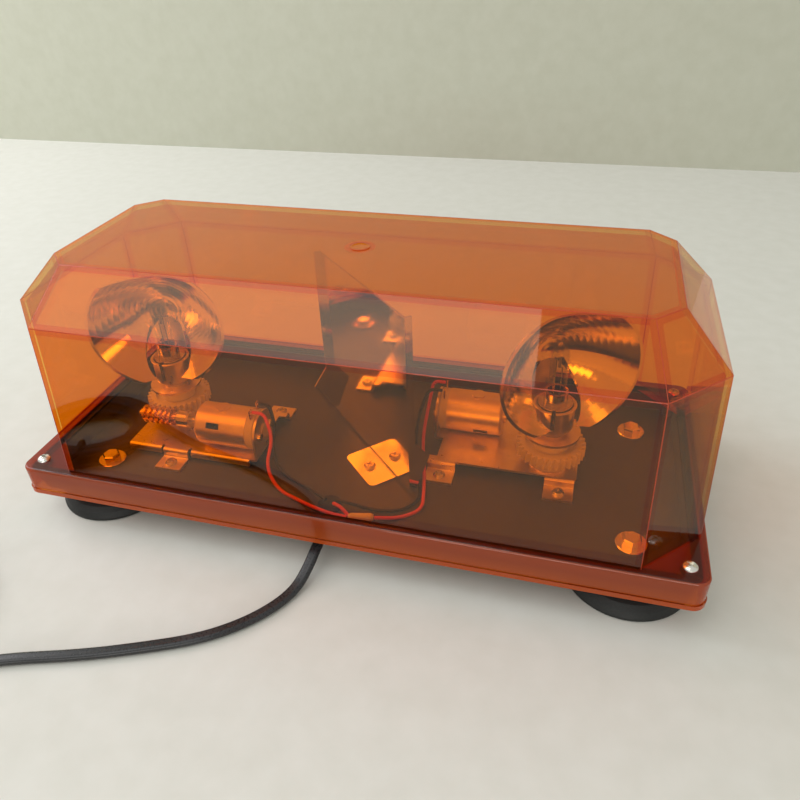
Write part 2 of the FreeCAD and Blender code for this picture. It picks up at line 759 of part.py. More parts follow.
def motor_end_cap():
    """The moulded cap that closes the can and meets the mounting plate."""
    left = motor_left + motor_length
    base = Vector(left, -centre_distance, mesh_z)
    cap = turned([(0, -3.0), (motor_radius - 1.2, -3.0), (motor_radius - 1.2, 0), (motor_cap_radius, 0),
                  (motor_cap_radius, motor_cap_length - 1.2), (motor_cap_radius - 1.2, motor_cap_length),
                  (0, motor_cap_length)], X, base)
    cap = cap.fuse(rod(motor_boss_radius, (left, -centre_distance, mesh_z),
                       (left + motor_cap_length + sheet + 1, -centre_distance, mesh_z)))
    holes = []
    for offset in (-motor_screw_pitch / 2, motor_screw_pitch / 2):
        y = -centre_distance + offset
        holes.append(rod(1.5, (left + motor_cap_length - 3, y, mesh_z),
                         (left + motor_cap_length + 1, y, mesh_z)))
    for y in terminal_places():
        holes.append(block((left + terminal_set_back - 0.1, y - terminal_width / 2 - 0.1, terminal_root_z()),
                           (left + terminal_set_back + terminal_thickness + 0.1,
                            y + terminal_width / 2 + 0.1, mesh_z + motor_radius)))
    return cap.cut(joined(holes)).removeSplitter()


def terminal_places():
    return (-centre_distance - terminal_spacing / 2, -centre_distance + terminal_spacing / 2)


def terminal_root_z():
    return mesh_z + motor_cap_radius / 2


def motor_terminals():
    """Two brass tags that stand up out of the cap, side by side."""
    near = motor_left + motor_length + terminal_set_back
    tags = []
    for y in terminal_places():
        tag = block((near, y - terminal_width / 2, terminal_root_z()),
                    (near + terminal_thickness, y + terminal_width / 2, terminal_top_z))
        eye = rod(0.8, (near - 1, y, terminal_top_z - 1.8), (near + 2, y, terminal_top_z - 1.8))
        tags.append(tag.cut(eye))
    return joined(tags)


def lamp_socket():
    """A pressed cup on top of the post, with a slit and a rolled rim."""
    low = post_top_z
    high = low + socket_height
    cup = turned([(post_bore_radius, low), (socket_radius - 2, low), (socket_radius, low + 2),
                  (socket_radius, high - 1), (socket_radius + 0.8, high - 0.4), (socket_radius + 0.4, high),
                  (socket_radius - socket_wall, high), (socket_radius - socket_wall, low + 2.4),
                  (socket_radius - 2.4, low + socket_wall), (post_bore_radius, low + socket_wall)])
    return cup.cut(block((-1.2, -socket_radius - 2, low + 5), (1.2, socket_radius + 2, high + 1)))


def lamp_base():
    """The lamp's metal cap: a barrel with a locating collar."""
    low = post_top_z + socket_wall
    seat = post_top_z + socket_height
    profile = [(0, low), (lamp_base_radius - 2, low), (lamp_base_radius, low + 2), (lamp_base_radius, seat),
               (socket_radius - 1.6, seat), (socket_radius - 1.6, seat + 1.2), (lamp_base_radius, seat + 1.2),
               (lamp_base_radius, seat + lamp_base_height), (lamp_glass_radius, seat + lamp_base_height),
               (lamp_glass_radius, seat + 2), (0, seat + 2)]
    return turned(profile)


def lamp_glass():
    """The halogen capsule: a thin glass tube with a domed, nipped top."""
    low = post_top_z + socket_height + 2
    top = beam_height + lamp_tip_above_beam
    radius = lamp_glass_radius
    inner = radius - lamp_glass_wall
    steps = 6
    outer_dome = [(radius * math.cos(math.radians(a)), top - radius + radius * math.sin(math.radians(a)))
                  for a in [90 * i / steps for i in range(steps)]]
    inner_dome = [(inner * math.cos(math.radians(a)), top - radius + inner * math.sin(math.radians(a)))
                  for a in [90 * i / steps for i in range(steps)]]
    profile = [(0, low), (radius, low)] + outer_dome + [(1.1, top - 0.3), (0.5, top + 1.6), (0, top + 1.8)]
    cavity = [(0, low + 4), (inner, low + 4)] + inner_dome + [(0, top - radius + inner)]
    return turned(profile).cut(turned(cavity))


def lamp_filament():
    """The coiled tungsten filament on its two supports."""
    low = post_top_z + socket_height + 6
    coil = post(filament_radius, beam_height - filament_length / 2, beam_height + filament_length / 2)
    legs = []
    for x, top in ((-1.8, beam_height - filament_length / 2), (1.8, beam_height + filament_length / 2)):
        legs.append(post(0.35, low, top, x, 0))
        legs.append(rod(0.35, (x * 1.15, 0, top), (0, 0, top)))
    return fused(coil, *legs)


def paraboloid(extra):
    """The dish's surface moved outwards by a distance, as (radius, along beam)."""
    count = 14
    points = []
    for i in range(count + 1):
        r = mouth_radius * i / count
        x = r * r / (4 * focal_length) - focal_length
        slope = r / (2 * focal_length)
        length = math.hypot(1, slope)
        points.append((r + extra * slope / length, x - extra / length))
    return points


def reflector():
    """A moulded parabolic dish with flat-cropped top and bottom and a rolled rim."""
    inside = paraboloid(0)
    outside = paraboloid(reflector_wall)
    rim_x = inside[-1][1]
    profile = inside + [(mouth_radius + reflector_lip, rim_x), (mouth_radius + reflector_lip, rim_x - 1.2)]
    profile += [(outside[-1][0], rim_x - 1.2)] + outside[-2::-1]
    dish = turned(profile, X, Vector(0, 0, beam_height))
    reach = mouth_radius + 10
    dish = dish.cut(block((-reach, -reach, beam_height + crop_above), (reach, reach, beam_height + reach)))
    dish = dish.cut(block((-reach, -reach, beam_height - reach), (reach, reach, beam_height - crop_below)))
    dish = dish.cut(post(lamp_hole_radius, beam_height - reach, beam_height - 5))
    back = -focal_length - reflector_wall
    boss = rod(arm_boss_radius, (back + 1.0, 0, beam_height), (back - arm_boss_depth, 0, beam_height))
    bowl = turned(paraboloid(0) + [(0, rim_x)], X, Vector(0, 0, beam_height))
    boss = boss.cut(bowl)
    dish = dish.fuse(boss).cut(rod(1.4, (back - arm_boss_depth - 1, 0, beam_height), (back, 0, beam_height)))
    return dish.removeSplitter()


def carrier():
    """A bent arm from the wheel's hub up the back of the reflector."""
    low = hub_top_z
    arm_x = -focal_length - reflector_wall - arm_boss_depth
    line = [(-8, low + sheet / 2), (arm_x - sheet / 2, low + sheet / 2),
            (arm_x - sheet / 2, beam_height + 9)]
    arm = bent_sheet(line, sheet, bend, X, (-arm_width / 2, arm_width / 2), Y)
    ring = post(carrier_ring_radius - 2, low, low + sheet)
    whole = fused(arm, ring)
    whole = whole.cut(post(post_outer_radius + running_gap + 0.3, low - 1, low + 3))
    return whole.cut(rod(1.5, (arm_x - 3, 0, beam_height), (arm_x + 1, 0, beam_height))).removeSplitter()


def carrier_screws():
    """The screw that holds the reflector to the back of its arm."""
    arm_x = -focal_length - reflector_wall - arm_boss_depth - sheet
    head = turned([(0, 0), (2.6, 0), (2.2, -1.7), (0, -1.7)], X, Vector(arm_x, 0, beam_height))
    screw = head.fuse(rod(1.4, (arm_x, 0, beam_height), (arm_x + sheet + 2.0, 0, beam_height)))
    return screw.removeSplitter()


def faced(shape, side):
    """Turns a piece of the rotor to the beam's heading, then puts it in its place."""
    shape = shape.copy()
    shape.rotate(ORIGIN, Z, heading(side))
    return placed(shape, side)


# ---- centre mirror --------------------------------------------------------------------
def mirror_frame(shape):
    shape.rotate(ORIGIN, Z, mirror_angle)
    shape.translate(Vector(mirror_centre_x, mirror_centre_y, 0))
    return shape


def mirror_screw_places():
    angle = math.radians(mirror_angle)
    along = mirror_foot_slit + mirror_foot_length / 2
    across = mirror_foot_depth - mirror_screw_inset
    places = []
    for side in (1, -1):
        places.append((mirror_centre_x + side * (along * math.cos(angle) + across * math.sin(angle)),
                       mirror_centre_y + side * (along * math.sin(angle) - across * math.cos(angle))))
    return places


def mirror_half():
    """One end of the mirror: half the sheet, its folded end with the gusset, and its foot."""
    half = mirror_length / 2
    low = floor_z + mirror_gap_below
    back = mirror_sheet / 2
    face = block((0, -back, low), (half, back, mirror_top_z))
    profile = [(-back, low), (mirror_fold, low), (gusset_reach, floor_z + gusset_peak),
               (mirror_fold, floor_z + gusset_top), (mirror_fold, mirror_top_z), (-back, mirror_top_z)]
    corners = [Vector(half - mirror_sheet, y, z) for y, z in profile]
    fold = Part.Face(Part.makePolygon(corners + corners[:1])).extrude(X * mirror_sheet)
    middle = floor_z + mirror_sheet / 2
    foot_line = [(0, low + mirror_gap_below + bend), (0, middle), (-mirror_foot_depth, middle)]
    foot_right = mirror_foot_slit + mirror_foot_length
    foot = bent_sheet(foot_line, mirror_sheet, bend, Y, (mirror_foot_slit, foot_right), X)
    round_corners = [e for e in foot.Edges if abs(e.CenterOfMass.y + mirror_foot_depth) < bend / 10
                     and e.Length < mirror_sheet * 1.01]
    foot = foot.makeFillet(mirror_foot_corner, round_corners)
    hole = post(tab_screw_radius + screw_clearance, floor_z - 1, floor_z + 4,
                mirror_foot_slit + mirror_foot_length / 2, mirror_screw_inset - mirror_foot_depth)
    return fused(face, fold, foot.cut(hole))


def centre_mirror():
    """A polished sheet across the bar, both ends folded back and both halves of its lower edge
    bent out as feet, one to each side."""
    one = mirror_half()
    other = mirror_half()
    other.rotate(ORIGIN, Z, 180)
    return mirror_frame(fused(one, other))


def mirror_screws():
    return joined([pan_screw(x, y, floor_z + mirror_sheet, tab_screw_radius, tab_screw_head_radius,
                             tab_screw_head_height, tab_screw_length - mirror_sheet)
                   for x, y in mirror_screw_places()])


# ---- wiring inside ----------------------------------------------------------------------
def wire_routes():
    """Leads from the gland to the motors, the red ones by way of the crimp."""
    lie = floor_z + wire_radius
    tag = motor_left + motor_length + terminal_set_back + terminal_thickness + wire_radius
    tag_z = terminal_top_z - wire_radius
    red_y = centre_distance + terminal_spacing / 2
    black_y = centre_distance - terminal_spacing / 2
    left, right = unit_x("left"), unit_x("right")
    red = [
        [(left + tag, -red_y, tag_z), (left + tag + 8, -red_y, tag_z),
         (left + tag + 14, -red_y - 5, tag_z - 14),
         (left + tag + 12, -46, lie + 7), (left + tag + 24, -57, lie), (left + tag + 49, -66, lie),
         (gland_x + 4, -71, lie + 1.5), (gland_x + 14, -71.5, floor_z + crimp_radius)],
        [(gland_x + 3, gland_y - 1, floor_z + 3.5), (gland_x + 9, -67, lie + 4.5),
         (gland_x + 14.5, -69.8, floor_z + crimp_radius)],
        [(gland_x + 30.2, -68.4, floor_z + crimp_radius), (gland_x + 44, -64, lie),
         (gland_x + 56, -54, lie), (right - tag - 1, -28, lie + 2), (right - tag - 9, 0, lie + 12),
         (right - tag - 9, red_y - 7, tag_z - 10),
         (right - tag - 8, red_y, tag_z), (right - tag, red_y, tag_z)],
    ]
    black = [
        [(left + tag, -black_y, tag_z), (left + tag + 7, -black_y, tag_z),
         (left + tag + 10, -black_y - 2, tag_z - 14),
         (left + tag + 9, -30, lie + 7), (left + tag + 20, -42, lie), (left + tag + 40, -50, lie),
         (gland_x - 12, -57, lie + 4), (gland_x - 3, gland_y + 1, floor_z + 3.5)],
        [(gland_x + 4, gland_y + 2, floor_z + 3.5), (gland_x + 13, -61, lie + 3), (gland_x + 27, -61, lie),
         (gland_x + 44, -58, lie), (gland_x + 53, -44, lie), (right - tag - 8, -20, lie + 1),
         (right - tag - 14, 0, lie + 12), (right - tag - 13, black_y - 6, tag_z - 12),
         (right - tag - 9, black_y, tag_z), (right - tag, black_y, tag_z)],
    ]
    return red, black


def leads(routes):
    return joined([tube(route, wire_radius)[0] for route in routes])


def crimp_connectors():
    """The insulated crimp that joins the red leads, lying on the tray floor."""
    neck = crimp_radius - crimp_taper
    body = turned([(0, 0), (neck, 0), (crimp_radius, crimp_mouth), (crimp_radius, crimp_length - crimp_mouth),
                   (neck, crimp_length), (0, crimp_length)], X)
    body.rotate(ORIGIN, Z, crimp_slant)
    body.translate(Vector(gland_x + crimp_beyond_gland, crimp_y, floor_z + crimp_radius))
    return body


# ---- cord, gland and plug ---------------------------------------------------------------
def cord_gland():
    """A rubber elbow through the tray floor, ribbed towards its mouth."""
    stem = post(gland_stem_radius, tray_bottom_z, floor_z, gland_x, gland_y)
    inner_flange = post(gland_stem_radius + 2.6, floor_z, floor_z + 1.8, gland_x, gland_y)
    outer_flange = post(gland_body_radius + 1.6, tray_bottom_z - 1.6, tray_bottom_z, gland_x, gland_y)
    elbow = post(gland_body_radius, cord_exit_z, tray_bottom_z, gland_x, gland_y)
    knuckle = Part.makeSphere(gland_body_radius, Vector(gland_x, gland_y, cord_exit_z))
    reach = gland_y - cord_exit_y
    nozzle = [(0, 0), (gland_body_radius, 0)]
    ribs = 4
    for i in range(ribs):
        t0, t1, t2 = (i + 0.35) / ribs, (i + 0.75) / ribs, (i + 0.999) / ribs
        radius = gland_body_radius + (gland_mouth_radius - gland_body_radius) * t1
        nozzle += [(radius, reach * t0), (radius, reach * t1), (radius - gland_rib, reach * t1 + 0.01),
                   (radius - gland_rib, reach * t2)]
    nozzle[-1] = (nozzle[-1][0], reach)
    nozzle += [(0, reach)]
    points = [Vector(gland_x + r, gland_y - h, cord_exit_z) for r, h in nozzle]
    face = Part.Face(Part.makePolygon(points + points[:1]))
    tail = face.revolve(Vector(gland_x, gland_y, cord_exit_z), Y, 360)
    return fused(stem, inner_flange, outer_flange, elbow, knuckle, tail)


def free_cord(route):
    """A stretch of the supply cord, with its arc radii printed."""
    cord, path, radii = tube(route, cord_radius)
    section = math.pi * cord_radius ** 2
    print("cord arc radii", [round(r, 1) for r in radii], "run length", round(path.Length, 1))
    print("cord volume over section x length", round(cord.Volume / (section * path.Length), 4))
    return cord


def cord_coil():
    """The put-away turns of the cord as one ring."""
    half = coil_half_width
    ring = turned([
        (coil_mid_radius - half, 0), (coil_mid_radius + half, 0), (coil_mid_radius + half, coil_height),
        (coil_mid_radius - half, coil_height)], base=Vector(coil_x, coil_y, 0.1))
    upper = [e for e in ring.Edges if e.BoundBox.ZMin > coil_height - 1 or e.BoundBox.ZMax < 1]
    return ring.makeFillet(coil_round, upper)


def plug_place(shape):
    """Lays a plug piece, drawn along +X with its boot behind X = 0, at the tail's end."""
    before, end = Vector(*tail_route[-2]), Vector(*tail_route[-1])
    along = (end - before).normalize()
    shape = shape.copy()
    shape.rotate(ORIGIN, Z, math.degrees(math.atan2(along.y, along.x)))
    shape.translate(end + along * boot_length)
    return shape


def plug_body():
    shell = turned([(2.0, 0), (plug_radius - 2.5, 0), (plug_radius - 1.0, 4), (plug_radius - 1.4, 14),
                    (plug_radius, 22), (plug_radius, plug_length - 1), (plug_radius - 1, plug_length),
                    (plug_nose_radius, plug_length), (plug_nose_radius, plug_length + plug_nose_length - 2),
                    (plug_nose_radius - 2, plug_length + plug_nose_length),
                    (plug_tip_radius + running_gap, plug_length + plug_nose_length),
                    (plug_tip_radius + running_gap, plug_length + plug_nose_length - 10),
                    (5.0, plug_length + plug_nose_length - 10), (5.0, 20.0), (2.0, 20.0)], X)
    for side in (-1, 1):
        y = side * plug_nose_radius
        shell = shell.cut(block((plug_length + 1, min(y, y - side * 2.2), -2.2),
                                (plug_length + 12, max(y, y - side * 2.2), 2.2)))
    return plug_place(shell)


def plug_contacts():
    """The two sprung earth contacts on the plug's nose."""
    contacts = []
    for side in (-1, 1):
        line = [(plug_length + 1.2, side * (plug_nose_radius - 1.6)),
                (plug_length + 6.5, side * (plug_nose_radius + 0.9)),
                (plug_length + 11.8, side * (plug_nose_radius - 1.6))]
        edge = side_line(line, 0.35) + side_line(line, -0.35)[::-1]
        points = [Vector(x, y, -1.8) for x, y in edge]
        contacts.append(plug_place(Part.Face(Part.makePolygon(points + points[:1])).extrude(Z * 3.6)))
    return joined(contacts)


def plug_tip():
    """The centre contact, a round pin with a shoulder inside the nose."""
    end = plug_length + plug_nose_length + plug_tip_proud
    foot = end - plug_tip_length - 6
    tip = turned([(0, foot), (4.6, foot), (4.6, foot + 1.9), (plug_tip_radius, foot + 1.9),
                  (plug_tip_radius, end - 2.2), (1.6, end - 0.3), (0, end)], X)
    return plug_place(tip)


def plug_boot():
    """The ribbed strain relief behind the plug."""
    ribs = 4
    step = boot_length / ribs
    slope = boot_tip_radius - plug_radius + 3.0
    profile = [(0, 0), (plug_radius - 3.0, 0)]
    for i in range(ribs):
        outer = plug_radius - 3.0 + slope * (i + 1) / ribs
        profile += [(outer, -step * (i + 0.55)), (outer - 0.8, -step * (i + 0.56)),
                    (outer - 0.8, -step * (i + 0.98))]
    profile += [(0, -boot_length)]
    return plug_place(turned(profile, X))


# ---- writing the parts --------------------------------------------------------------------
def save(name, shape):
    if not shape.isValid():
        print("not valid:", name)
    shape.exportStep("parts/" + name + ".step")


def build():
    os.makedirs("parts", exist_ok=True)
    save("base_tray", base_tray())
    save("lens_dome", lens_dome())
    save("dome_gasket", dome_gasket())
    save("dome_screws", dome_screws())
    for number, (x, y) in enumerate(four(foot_x, foot_y), 1):
        save(f"foot_boot_{number}", foot_boot(x, y))
        save(f"foot_magnet_{number}", foot_magnet(x, y))
    save("foot_washers", foot_washers())
    save("foot_bolts", foot_bolts())
    fixed = {
        "drive_bracket": drive_bracket(), "unit_screws": bracket_screws(), "axle_post": axle_post(),
        "motor_can": motor_can(), "motor_end_cap": motor_end_cap(), "motor_terminals": motor_terminals(),
        "lamp_socket": lamp_socket(), "lamp_base": lamp_base(), "lamp_glass": lamp_glass(),
        "lamp_filament": lamp_filament(), "worm_wheel": worm_wheel(), "worm": worm(),
        "motor_shaft": motor_shaft(),
    }
    turning = {"reflector": reflector(), "carrier": carrier(), "carrier_screw": carrier_screws()}
    for side in ("left", "right"):
        for name, shape in fixed.items():
            save(f"{name}_{side}", placed(shape, side))
        for name, shape in turning.items():
            save(f"{name}_{side}", faced(shape, side))
    save("centre_mirror", centre_mirror())
    save("mirror_screws", mirror_screws())
    red, black = wire_routes()
    save("red_leads", leads(red))
    save("black_leads", leads(black))
    save("crimp_connectors", crimp_connectors())
    save("cord_gland", cord_gland())
    coil = cord_coil()
    save("power_cord", free_cord(cord_route).cut(coil))
    save("cord_tail", free_cord(tail_route).cut(coil))
    save("cord_coil", coil)
    save("plug_body", plug_body())
    save("plug_contacts", plug_contacts())
    save("plug_tip", plug_tip())
    save("plug_boot", plug_boot())


build()
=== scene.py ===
import json
import math

import bmesh
import bpy
from mathutils import Matrix, Vector


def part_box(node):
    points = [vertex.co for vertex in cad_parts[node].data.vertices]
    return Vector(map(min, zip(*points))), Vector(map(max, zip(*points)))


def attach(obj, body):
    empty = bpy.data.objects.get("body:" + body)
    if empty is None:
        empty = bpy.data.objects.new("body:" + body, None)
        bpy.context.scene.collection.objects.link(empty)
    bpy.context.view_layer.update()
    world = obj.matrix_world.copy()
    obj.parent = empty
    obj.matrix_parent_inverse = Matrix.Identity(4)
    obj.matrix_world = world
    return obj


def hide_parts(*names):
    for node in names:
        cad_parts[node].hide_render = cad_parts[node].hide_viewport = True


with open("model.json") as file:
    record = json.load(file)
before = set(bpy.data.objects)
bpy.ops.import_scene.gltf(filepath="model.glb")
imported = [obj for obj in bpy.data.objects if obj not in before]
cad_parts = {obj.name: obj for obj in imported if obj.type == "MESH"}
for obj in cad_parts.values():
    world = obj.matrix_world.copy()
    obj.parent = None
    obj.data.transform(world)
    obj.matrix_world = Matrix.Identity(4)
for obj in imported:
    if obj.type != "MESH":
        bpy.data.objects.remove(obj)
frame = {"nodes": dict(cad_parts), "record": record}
nodes = frame["nodes"]
scene = bpy.context.scene
scene.view_settings.view_transform = "Standard"
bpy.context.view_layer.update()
print("frame loaded:", len(nodes), "nodes")


def hexColour(text):
    # sRGB hex to the linear values that the shaders take
    parts = [int(text[i:i + 2], 16) / 255 for i in (0, 2, 4)]
    linear = [c / 12.92 if c <= 0.04045 else ((c + 0.055) / 1.055) ** 2.4 for c in parts]
    return (*linear, 1.0)


def addNode(tree, kind, inputs=None, stops=(), **settings):
    # an input takes a value, a socket, or a list of sockets; stops are a ramp's two ends
    node = tree.nodes.new(kind)
    for name, value in settings.items():
        setattr(node, name, value)
    for key, value in (inputs or {}).items():
        sources = value if isinstance(value, list) else [value]
        if isinstance(sources[0], bpy.types.NodeSocket):
            for source in sources:
                tree.links.new(source, node.inputs[key])
        else:
            node.inputs[key].default_value = value
    for i, (position, colour) in enumerate(stops):
        node.color_ramp.elements[i].position = position
        node.color_ramp.elements[i].color = hexColour(colour)
    return node


def newMaterial(name):
    material = bpy.data.materials.new(name)
    material.use_nodes = True
    material.node_tree.nodes.clear()
    return material, material.node_tree


def addPiece(name, mesh):
    piece = bpy.data.objects.new(name, mesh)
    scene.collection.objects.link(piece)
    return piece


def dress(piece, material):
    piece.data.materials.clear()
    piece.data.materials.append(material)


# camera: in front of the bar and to its right, looking down on it; metres
camera = {
    "place": (0.12158, -0.34799, 0.31365),
    "turn": (16.29, -34.7, 2.22),      # degrees: yaw, pitch, roll
    "lens": 31.16,
    "sensor": 36.0,
    "nearest": 0.01,
}
yaw, pitch, roll = (math.radians(a) for a in camera["turn"])
cameraData = bpy.data.cameras.new("camera")
cameraData.lens = camera["lens"]
cameraData.sensor_width = camera["sensor"]
cameraData.clip_start = camera["nearest"]
scene.camera = addPiece("camera", cameraData)
scene.camera.matrix_world = (
    Matrix.Translation(camera["place"])
    @ Matrix.Rotation(yaw, 4, "Z")
    @ Matrix.Rotation(pitch, 4, "X")
    @ Matrix.Rotation(roll, 4, "Y")
    @ Matrix.Rotation(math.radians(90), 4, "X")
)
print("camera set")

# supply cord: black twin flex out of the gland, across the floor to the left,
# then the spare length in a tied coil beside the lighter plug; millimetres
cord = {
    "width": 6.6,
    "height": 4.2,
    "lobeSteps": 8,            # corners round each of the two cores
    "smoothness": 5,           # steps between two points of the route
    "route": [(-9, -78, 13), (-9, -88, 13), (-10, -99, 8.4), (-13.5, -112, 2.4),
              (-21, -127, 2.3), (-34, -142, 2.3), (-52, -155.5, 2.3), (-77, -167, 2.3),
              (-108, -179.5, 2.3), (-146, -191, 2.3), (-172, -203.5, 2.3),
              (-196.5, -215.8, 2.3)],
    "tail": [(-271.5, -204.5, 6.0), (-275.6, -193.2, 7.5), (-281.5, -180.5, 10.5),
             (-286.4, -168.5, 10.5)],
    "coilCentre": (-230.0, -184.0),
    # radius and height of each turn, in the order they are laid
    "turns": [(42.6, 2.3), (36.0, 2.3), (29.4, 2.3), (29.4, 6.8), (36.0, 6.8),
              (36.0, 11.3), (42.6, 11.3), (42.6, 6.8)],
    "startAngle": -43.5,
    "endAngle": -153.7,
    "pointsPerTurn": 16,
    "stepOver": 0.25,          # share of a turn in which the cord moves to the next one
    "length": 2.0,             # metres, from the gland to the plug
}


def coilPoints():
    perTurn = cord["pointsPerTurn"]
    fullTurns = len(cord["turns"]) - 1
    sweep = (cord["startAngle"] - cord["endAngle"]) % 360
    count = fullTurns * perTurn + round(sweep / 360 * perTurn)
    widen = 1 / math.cos(math.pi / perTurn)   # the spline runs inside its control points
    points = []
    for step in range(1, count):
        turn = step / perTurn
        whole = min(int(turn), fullTurns)
        radius, height = cord["turns"][whole]
        if whole < fullTurns:
            share = max(0.0, (turn - whole - 1 + cord["stepOver"]) / cord["stepOver"])
            share = share * share * (3 - 2 * share)
            nextRadius, nextHeight = cord["turns"][whole + 1]
            radius += (nextRadius - radius) * share
            height += (nextHeight - height) * share
        angle = math.radians(cord["startAngle"] - step * 360 / perTurn)
        points.append((cord["coilCentre"][0] + radius * widen * math.cos(angle),
                       cord["coilCentre"][1] + radius * widen * math.sin(angle), height))
    return points


def splineLine(name, points, steps):
    # the smooth line through a route, as a list of points in metres
    curve = bpy.data.curves.new(name, "CURVE")
    curve.dimensions = "3D"
    spline = curve.splines.new("NURBS")
    spline.points.add(len(points) - 1)
    for target, point in zip(spline.points, points):
        target.co = (*(c / 1000 for c in point), 1)
    spline.order_u = 3
    spline.use_endpoint_u = True
    spline.resolution_u = steps
    carrier = addPiece(name, curve)
    bpy.context.view_layer.update()
    line = bpy.data.meshes.new_from_object(carrier)
    found = [vertex.co.copy() for vertex in line.vertices]
    bpy.data.objects.remove(carrier)
    bpy.data.meshes.remove(line)
    return found


def sweepMesh(name, line, profile, up=Vector((0, 0, 1))):
    # a closed tube with the profile (side, up) in metres round each point of the line
    mesh = bmesh.new()
    rings = []
    for i, point in enumerate(line):
        along = (line[min(i + 1, len(line) - 1)] - line[max(i - 1, 0)]).normalized()
        side = along.cross(up).normalized()
        rise = side.cross(along)
        rings.append([mesh.verts.new(point + side * x + rise * y) for x, y in profile])
    for ring, following in zip(rings, rings[1:]):
        for j in range(len(profile)):
            k = (j + 1) % len(profile)
            mesh.faces.new((ring[j], ring[k], following[k], following[j])).smooth = True
    mesh.faces.new(list(reversed(rings[0])))
    mesh.faces.new(rings[-1])
    bmesh.ops.recalc_face_normals(mesh, faces=mesh.faces)
    data = bpy.data.meshes.new(name)
    mesh.to_mesh(data)
    mesh.free()
    return addPiece(name, data)


def twinProfile():
    # two round cores side by side with a shallow valley between them
    radius = cord["height"] / 2
    offset = cord["width"] / 2 - radius
    limit = math.pi - math.acos(offset / radius)
    profile = []
    for sign in (1, -1):
        for i in range(cord["lobeSteps"]):
            angle = -limit + 2 * limit * i / cord["lobeSteps"]
            profile.append((sign * (offset + radius * math.cos(angle)) / 1000,
                            sign * radius * math.sin(angle) / 1000))
    return profile


cordLine = splineLine("cordLine", cord["route"] + coilPoints() + cord["tail"], cord["smoothness"])
powerCord = sweepMesh("powerCord", cordLine, twinProfile())
print("cord swept:", round(sum((b - a).length for a, b in zip(cordLine, cordLine[1:])), 3), "m")

